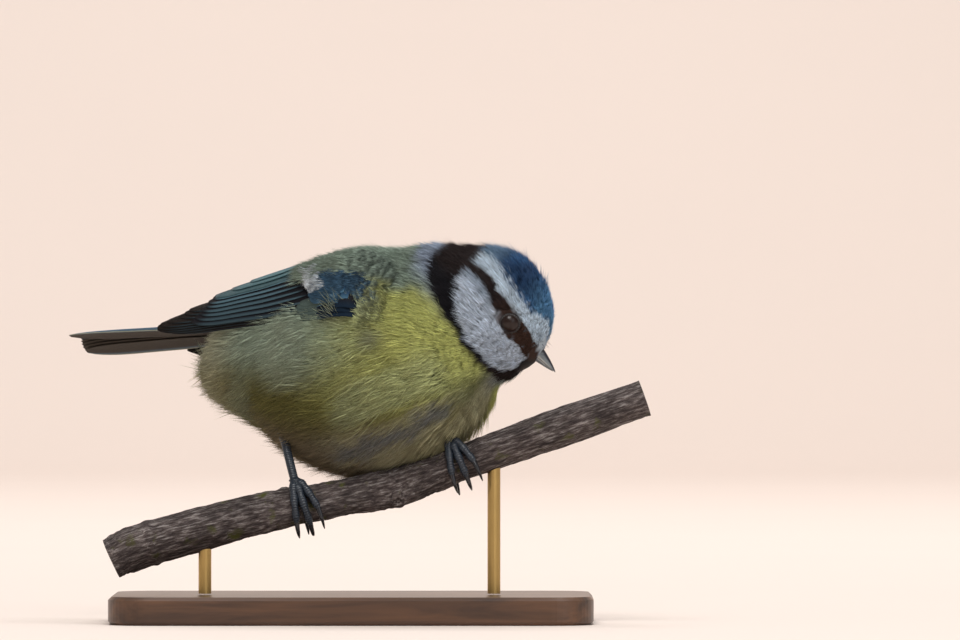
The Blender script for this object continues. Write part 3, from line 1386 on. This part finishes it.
for leg in LEGS:
    name, place = leg["name"], perch_place(leg["x"])
    heel = round_perch(place, leg["heel"], GAP + 1.25, 0)
    parts, tips, paths = [], [], []
    for start, end, spread in leg["toes"]:
        points, claw = toe_points(place, start, end, spread)
        parts.append(bar_arrays(points, toe_radius, TOE_GRID))
        tips.append(bar_arrays(claw, claw_radius, CLAW_GRID))
        line = np.array([spline(np.array(points), u * 3) for u in TOE_STEPS])
        axis = place[0] + place[1] * ((line - place[0]) @ place[1])[:, None]
        paths.append(plate_path(line, unit(line - axis), toe_radius, TOE_STEPS))
    parts.append(bar_arrays([heel + [0, 0, z] for z in (-0.3, 0.3, 0.9)], heel_radius, HEEL_GRID))
    feet[name] = merged(f"toes_{name}", parts)
    claws[name] = merged(f"claws_{name}", tips)
    route = np.array([*leg["route"], heel])
    shanks[name] = finished(f"shank_{name}", *bar_arrays(route, shank_radius, SHANK_GRID))
    line = np.array([spline(route, u * 2) for u in SHANK_STEPS])
    way = unit(np.gradient(line, axis=0))
    outs = unit(SHANK_FRONT - way * (way @ SHANK_FRONT)[:, None])
    paths.append(plate_path(line, outs, shank_radius, SHANK_STEPS))
    scute_paths[name] = paths

leg_finish = simple_finish("leg scales", {"Roughness": 0.32}, 800, 0.7, linear(36, 44, 54), (0.3, 0.0002))
finish_with(leg_finish, *feet.values(), *shanks.values())
finish_with(simple_finish("claw horn", {"Roughness": 0.22}, 700, 0.4, linear(34, 34, 38)), *claws.values())


# %% [markdown]
# A bird's toes and shanks wear a row of overlapping horny plates. Modelled one at a
# time they would be hard to adjust. Geometry Nodes sets one flattened ball after another
# along a path that carries its outward direction and girth. The same idea with thin
# cones gives the bristles at the base of the bill.

# %% Growing plates and bristles
def growth_tree(name, *inputs):
    tree = bpy.data.node_groups.new(name, "GeometryNodeTree")
    tree.is_modifier = True
    add_sockets(tree, "INPUT", ("Geometry", "NodeSocketGeometry"), *inputs)
    add_sockets(tree, "OUTPUT", ("Geometry", "NodeSocketGeometry"))
    return tree, add_node(tree, "NodeGroupInput").outputs


def named_value(tree, name, kind):
    node = add_node(tree, "GeometryNodeInputNamedAttribute", {"Name": name}, data_type=kind)
    return node.outputs["Attribute"]


def finish_growth(tree, start, instances):
    real = add_node(tree, "GeometryNodeRealizeInstances", {"Geometry": instances})
    soft = add_node(tree, "GeometryNodeSetShadeSmooth", {"Geometry": real.outputs["Geometry"]})
    paint = add_node(tree, "GeometryNodeSetMaterial", {
        "Geometry": soft.outputs["Geometry"], "Material": start["Material"]})
    add_node(tree, "NodeGroupOutput", {"Geometry": paint.outputs["Geometry"]})
    return tree


def plates_tree():
    tree, start = growth_tree("plates along a path", ("Spacing", "NodeSocketFloat"),
                              ("Plate", "NodeSocketVector"), ("Material", "NodeSocketMaterial"))
    curve = add_node(tree, "GeometryNodeMeshToCurve", {"Mesh": start["Geometry"]}).outputs["Curve"]
    even = add_node(tree, "GeometryNodeResampleCurve", {
        "Curve": curve, "Length": start["Spacing"]}, mode="LENGTH")
    ball = add_node(tree, "GeometryNodeMeshIcoSphere", {"Radius": 0.5, "Subdivisions": 3})
    turn = add_node(tree, "FunctionNodeAxesToRotation", {
        "Primary Axis": named_value(tree, "out", "FLOAT_VECTOR"),
        "Secondary Axis": add_node(tree, "GeometryNodeInputTangent").outputs["Tangent"],
    }, primary_axis="Z", secondary_axis="X")
    size = add_node(tree, "ShaderNodeVectorMath", {
        0: start["Plate"], "Scale": named_value(tree, "girth", "FLOAT")}, operation="SCALE")
    place = add_node(tree, "GeometryNodeInstanceOnPoints", {
        "Points": even.outputs["Curve"], "Instance": ball.outputs["Mesh"],
        "Rotation": turn.outputs["Rotation"], "Scale": size.outputs["Vector"]})
    return finish_growth(tree, start, place.outputs["Instances"])


def bristles_tree():
    tree, start = growth_tree("bristles on points", ("Thickness", "NodeSocketFloat"),
                              ("Material", "NodeSocketMaterial"))
    cone = add_node(tree, "GeometryNodeMeshCone", {
        "Vertices": 6, "Radius Top": 0.0, "Radius Bottom": 1.0, "Depth": 1.0})
    turn = add_node(tree, "FunctionNodeAlignRotationToVector", {
        "Vector": named_value(tree, "out", "FLOAT_VECTOR")}, axis="Z")
    size = add_node(tree, "ShaderNodeCombineXYZ", {
        "X": start["Thickness"], "Y": start["Thickness"], "Z": named_value(tree, "girth", "FLOAT")})
    points = add_node(tree, "GeometryNodeMeshToPoints", {"Mesh": start["Geometry"]})
    place = add_node(tree, "GeometryNodeInstanceOnPoints", {
        "Points": points.outputs["Points"], "Instance": cone.outputs["Mesh"],
        "Rotation": turn.outputs["Rotation"], "Scale": size.outputs["Vector"]})
    return finish_growth(tree, start, place.outputs["Instances"])


PLATES, BRISTLES = plates_tree(), bristles_tree()
print("growing trees:", PLATES.name, "and", BRISTLES.name)


# %% [markdown]
# The scutes are the horny plates themselves, one row along each toe and shank. Left as a
# modifier they could still be adjusted, but they have to leave the scene as plain
# meshes. So the path, with its directions and girths as attributes, is evaluated once,
# and the result is kept as a mesh of its own.

# %% Scutes on the legs
def grown(name, paths, tree, values, girth_scale=1.0):
    points, outs, girths = (np.concatenate(arrays) for arrays in zip(*paths))
    edges, offset = [], 0
    for path in paths:
        edges += [(offset + i, offset + i + 1) for i in range(len(path[0]) - 1)]
        offset += len(path[0])
    mesh = bpy.data.meshes.new(name + "_path")
    mesh.from_pydata((points * MM).tolist(), edges, [])
    out = mesh.attributes.new("out", "FLOAT_VECTOR", "POINT")
    out.data.foreach_set("vector", outs.ravel())
    girth = mesh.attributes.new("girth", "FLOAT", "POINT")
    girth.data.foreach_set("value", girths * girth_scale)
    guide = bpy.data.objects.new(name + "_path", mesh)
    bpy.context.scene.collection.objects.link(guide)
    modifier = guide.modifiers.new("grow", "NODES")
    modifier.node_group = tree
    for item in tree.interface.items_tree:
        if item.item_type == "SOCKET" and item.in_out == "INPUT" and item.name in values:
            modifier[item.identifier] = values[item.name]
    guide.update_tag()
    depsgraph = bpy.context.evaluated_depsgraph_get()
    grown_mesh = bpy.data.meshes.new_from_object(guide.evaluated_get(depsgraph), depsgraph=depsgraph)
    grown_mesh.name = name
    piece = bpy.data.objects.new(name, grown_mesh)
    bpy.context.scene.collection.objects.link(piece)
    bpy.data.objects.remove(guide)
    print(name, "faces:", len(grown_mesh.polygons))
    return piece


PLATE_SIZE = (0.95 * MM, 1.7 * MM, 0.75 * MM)
PLATE_VALUES = {"Spacing": 0.62 * MM, "Plate": PLATE_SIZE, "Material": leg_finish}
scutes = {name: grown(f"scutes_{name}", paths, PLATES, PLATE_VALUES) for name, paths in scute_paths.items()}


# %% [markdown]
# Short stiff bristles stand round the base of the bill and point forward over it. Hair
# would do it in one step, but it isn't a mesh. A few rows on each side give the roots,
# with a little chance in place, direction and length, and thin cones grow there.

# %% Bristles at the bill
BRISTLE_ROWS = [
    {"count": 9, "along": (13.4, 14.6), "side": (2.6, 3.6), "height": (-0.4, 2.0),
     "length": 2.0, "splay": 0.45},
    {"count": 8, "along": (14.0, 14.8), "side": (0.5, 2.2), "height": (2.6, 3.6),
     "length": 1.5, "splay": 0.2},
]
BRISTLE_CHANCE = 0.12
BRISTLE_WIDTH = 0.05


def bristle_path(row, sign):
    count = row["count"]
    share = np.linspace(0, 1, count)

    def spread(ends):
        return ends[0] + (ends[1] - ends[0]) * share + rng.normal(0, BRISTLE_CHANCE, count)

    local = np.stack([spread(row["along"]), sign * spread(row["side"]), spread(row["height"])], axis=-1)
    way = np.stack([np.ones(count), np.full(count, sign * row["splay"]), 0.25 - share * 0.5], axis=-1)
    way = unit(way + rng.normal(0, BRISTLE_CHANCE, way.shape)) @ HEAD[1]
    return to_world(HEAD, local), way, row["length"] * (0.7 + 0.6 * rng.random(count))


bristle_values = {
    "Thickness": BRISTLE_WIDTH * MM,
    "Material": simple_finish("bristles", {"Roughness": 0.5}, 500, 0.3, linear(30, 28, 30)),
}
bristle_paths = [bristle_path(row, sign) for row in BRISTLE_ROWS for sign in SIDES.values()]
bristles = grown("bill_bristles", bristle_paths, BRISTLES, bristle_values, MM)


# %% [markdown]
# The stand is plain: an oblong base of oiled dark wood and two brushed brass rods. Its
# solids are right as they are, so remaking them would gain nothing, and they only get a
# finish. The wood's grain is noise stretched along the base.

# %% Stand finishes
WOOD_SURFACE = {"Roughness": 0.38, "Coat Weight": 0.3, "Coat Roughness": 0.25}
WOOD_STRETCH = (14, 160, 160)
WOOD_STOPS = [(0.3, linear(50, 32, 22)), (0.7, linear(104, 70, 46))]
BRASS_SURFACE = {"Roughness": 0.3, "Metallic": 1.0}


def wood_finish():
    material, tree, shader = new_material("base wood", WOOD_SURFACE)
    where = add_node(tree, "ShaderNodeTexCoord").outputs["Object"]
    grain = noise(tree, stretched(tree, where, WOOD_STRETCH), 1.6, 7, distortion=0.6)
    tree.links.new(colour_ramp(tree, grain, WOOD_STOPS), shader.inputs["Base Color"])
    bump(tree, shader, grain, 0.15, 0.0002)
    return material


wood = wood_finish()
brass = simple_finish("brushed brass", BRASS_SURFACE, 260, 0.25, linear(196, 164, 104), (0.05, 0.0001))
for name, material in (("stand_base", wood), ("stand_rod_1", brass), ("stand_rod_2", brass)):
    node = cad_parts[name]
    node.data.materials.clear()
    finish_with(material, node)


# %% [markdown]
# Each piece rides on the model's one body, as nothing here moves. It stands for the
# solids that it replaces, or adds to them, and takes the record's slot that its finish
# belongs to. Joining everything into one mesh would lose these ties.

# %% Rides, replacements and slots
def dress(piece, slot, *nodes):
    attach(piece, "root")
    if nodes:
        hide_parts(*nodes)


dress(skin, "body_plumage", "torso", "neck", "head")
for piece in coat:
    dress(piece, "head_plumage" if "head" in piece.name else "body_plumage")
for side_name in SIDES:
    dress(wings[side_name], "wing_feathers", f"wing_{side_name}")
    dress(eyes[side_name], "eye", f"eye_{side_name}")
    dress(lids[side_name], "leg_skin")
    dress(feet[side_name], "leg_skin", f"foot_{side_name}")
    dress(claws[side_name], "bill")
    dress(shanks[side_name], "leg_skin", f"leg_{side_name}")
    dress(scutes[side_name], "leg_skin")
dress(tail, "tail_feathers", "tail")
for half, piece in bill_pieces.items():
    dress(piece, "bill", f"bill_{half}")
dress(bristles, "head_plumage")
dress(perch, "bark", "perch")
print("coat pieces dressed:", len(coat))


# %% [markdown]
# The photograph was taken from far away with a long lens, level with the bird. A near
# camera would bend its outline. So the camera looks along +Y from 2.4 m, and its lens
# and place follow from the photograph's scale and from the pixel of the frame's origin.

# %% Camera
PIXELS_PER_MM = 4.3
FRAME_WIDTH, FRAME_HEIGHT = 960, 640
ORIGIN_PIXEL = (352, 622)
CAMERA_DISTANCE = 2.4
SENSOR = 36.0

view_x = (FRAME_WIDTH / 2 - ORIGIN_PIXEL[0]) / PIXELS_PER_MM * MM
view_z = (ORIGIN_PIXEL[1] - FRAME_HEIGHT / 2) / PIXELS_PER_MM * MM
camera_data = bpy.data.cameras.new("camera")
camera_data.sensor_width = SENSOR
camera_data.lens = SENSOR * CAMERA_DISTANCE / (FRAME_WIDTH / PIXELS_PER_MM * MM)
camera_data.clip_end = 50
camera = bpy.data.objects.new("camera", camera_data)
camera.location = (view_x, -CAMERA_DISTANCE, view_z)
camera.rotation_euler = (math.radians(90), 0, 0)
bpy.context.scene.collection.objects.link(camera)
bpy.context.scene.camera = camera
print("lens in mm:", round(camera_data.lens))


# %% [markdown]
# A studio's paper runs from the floor up the wall in one soft bend, so that no line
# stands behind the bird. Two planes would show their corner. The strip is drawn from a
# profile with a quarter circle, well behind the bird.

# %% Floor
SWEEP = {"front": -5.0, "back": 2.3, "radius": 0.7, "half_width": 5.0, "height": 4.0, "steps": 16}


def floor_sweep():
    profile = [(SWEEP["front"], 0.0)]
    for a in np.radians(np.linspace(0, 90, SWEEP["steps"] + 1)):
        profile.append((SWEEP["back"] + SWEEP["radius"] * math.sin(a), SWEEP["radius"] * (1 - math.cos(a))))
    profile.append((SWEEP["back"] + SWEEP["radius"], SWEEP["height"]))
    sides = (-SWEEP["half_width"], SWEEP["half_width"])
    points = np.array([(x, y, z) for x in sides for y, z in profile])
    index = np.arange(len(points)).reshape(2, -1)
    return make_object("floor", points / MM, quads_of(index)[:, ::-1])


floor = floor_sweep()
finish_with(simple_finish("studio paper", {"Roughness": 0.9}, 6, 0.03, linear(234, 221, 212)), floor)


# %% [markdown]
# The photograph has soft daylight from a cloudy sky. A sun would give hard shadows, and
# a picture of a sky would need a file. A broad lamp from above and in front, a cool
# fill, one from behind for the back feathers, one for the paper, and a very small one
# for the light in the eye come close to it.

# %% Lamps and world
LAMPS = [
    {"name": "key", "at": (-0.15, -0.9, 1.35), "aim": (0.01, 0, 0.06), "size": 0.7, "power": 13,
     "colour": (1, 0.98, 0.96)},
    {"name": "fill", "at": (0.9, -1.2, 0.6), "aim": (0.01, 0, 0.06), "size": 1.0, "power": 3.5,
     "colour": (0.90, 0.95, 1)},
    {"name": "top", "at": (0.2, 0.5, 1.4), "aim": (0.01, 0, 0.06), "size": 0.8, "power": 8,
     "colour": (0.96, 0.98, 1)},
    {"name": "backdrop", "at": (0, 1.3, 2.1), "aim": (0, 3.0, 0.5), "size": 1.6, "power": 39,
     "colour": (1, 0.97, 0.96)},
    {"name": "catch", "at": (0.12, -0.9, 0.75), "aim": (0.03, 0, 0.07), "size": 0.07, "power": 1.6,
     "colour": (1, 1, 1)},
]
WORLD_COLOUR, WORLD_STRENGTH = (1.0, 0.95, 0.91, 1), 0.30

for lamp in LAMPS:
    data = bpy.data.lights.new(lamp["name"], "AREA")
    data.size, data.energy, data.color = lamp["size"], lamp["power"], lamp["colour"]
    light = bpy.data.objects.new(lamp["name"], data)
    light.location = lamp["at"]
    aim = Vector(lamp["aim"]) - Vector(lamp["at"])
    light.rotation_euler = aim.to_track_quat("-Z", "Y").to_euler()
    bpy.context.scene.collection.objects.link(light)

world = bpy.data.worlds.new("studio")
bpy.context.scene.world = world
world.use_nodes = True
background = world.node_tree.nodes["Background"]
background.inputs["Color"].default_value = WORLD_COLOUR
background.inputs["Strength"].default_value = WORLD_STRENGTH
bpy.context.scene.view_settings.view_transform = "Standard"
print("lamps:", len(LAMPS))


# %% [markdown]
# The dressed bird must fill the same box as the solids, apart from loose feather tips.
# Measuring by eye would miss a millimetre. So both boxes are written to a file where
# they can be compared, and the frame's own finish closes the scene.

# %% Sizes, then the finish
print("coat faces:", sum(len(piece.data.polygons) for piece in coat))
